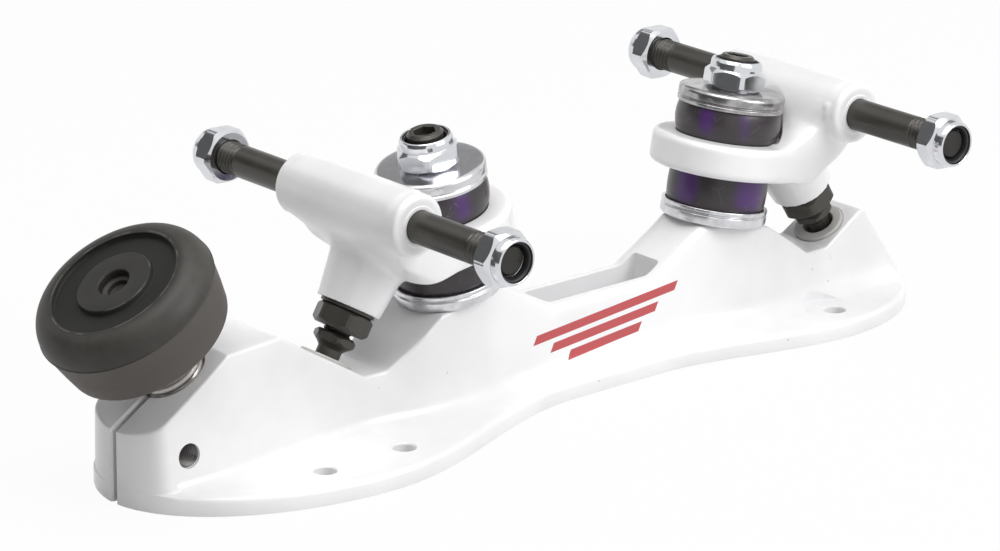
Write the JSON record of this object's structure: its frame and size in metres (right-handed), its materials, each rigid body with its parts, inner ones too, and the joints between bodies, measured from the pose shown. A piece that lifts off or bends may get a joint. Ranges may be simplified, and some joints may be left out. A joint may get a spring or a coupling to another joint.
{
  "type": "roller skate plate",
  "caption": "White cast roller skate plate with sprung steering trucks on cushioned kingpins, threaded axles with lock nuts, and a clamped adjustable rubber toe stop.",
  "frame": {"origin": "middle of the wheelbase, on the boot face", "axes": "+X towards the toe, +Z away from the boot towards the axles, +Y to the side that faces the camera"},
  "size_m": [0.2641, 0.1134, 0.0721],
  "materials": {
    "white_paint": "gloss white paint on cast aluminium",
    "black_steel": "black oxide, slightly scratched",
    "bright_zinc": "bright zinc plate",
    "satin_steel": "satin plate with bright rims",
    "black_nylon": "matt nylon",
    "stop_rubber": "moulded rubber with a soft sheen",
    "urethane": "dark translucent purple urethane",
    "grey_plastic": "grey moulded plastic"
  },
  "bodies": {
    "plate": {"base_plate": "white_paint", "pinch_screw": "black_steel", "front_kingpin": "black_steel", "front_kingpin_nut": "bright_zinc", "front_kingpin_nut_insert": "black_nylon", "front_lower_washer": "satin_steel", "front_upper_washer": "satin_steel", "front_lower_cushion": "urethane", "front_upper_cushion": "urethane", "front_pivot_cup": "grey_plastic", "rear_kingpin": "black_steel", "rear_kingpin_nut": "bright_zinc", "rear_kingpin_nut_insert": "black_nylon", "rear_lower_washer": "satin_steel", "rear_upper_washer": "satin_steel", "rear_lower_cushion": "urethane", "rear_upper_cushion": "urethane", "rear_pivot_cup": "grey_plastic"},
    "toe_stop": {"toe_stop_rubber": "stop_rubber", "toe_stop_stem": "bright_zinc", "toe_stop_washer": "satin_steel"},
    "front_truck_body": {"front_truck": "white_paint", "front_axle": "black_steel", "front_axle_nuts": "bright_zinc", "front_axle_nut_inserts": "black_nylon", "front_pivot_stud": "black_steel", "front_pivot_lock_nut": "black_steel", "front_pivot_washer": "black_steel"},
    "rear_truck_body": {"rear_truck": "white_paint", "rear_axle": "black_steel", "rear_axle_nuts": "bright_zinc", "rear_axle_nut_inserts": "black_nylon", "rear_pivot_stud": "black_steel", "rear_pivot_lock_nut": "black_steel", "rear_pivot_washer": "black_steel"}
  },
  "joints": [
    {"name": "front_truck_steer", "type": "hinge", "parent": "plate", "child": "front_truck_body", "pos_m": [0.08366, 0, 0.01705], "axis": [0.7846, 0, -0.6201], "range_deg": [-8, 8], "stiffness_Nm_per_rad": 25, "deforming": ["front_lower_cushion", "front_upper_cushion"]},
    {"name": "rear_truck_steer", "type": "hinge", "parent": "plate", "child": "rear_truck_body", "pos_m": [-0.08366, 0, 0.01705], "axis": [-0.7846, 0, -0.6201], "range_deg": [-8, 8], "stiffness_Nm_per_rad": 25, "deforming": ["rear_lower_cushion", "rear_upper_cushion"]},
    {"name": "toe_stop_adjust", "type": "slide", "parent": "plate", "child": "toe_stop", "axis": [0.5388, 0, 0.8425], "range_m": [-0.008, 0.006]}
  ]
}
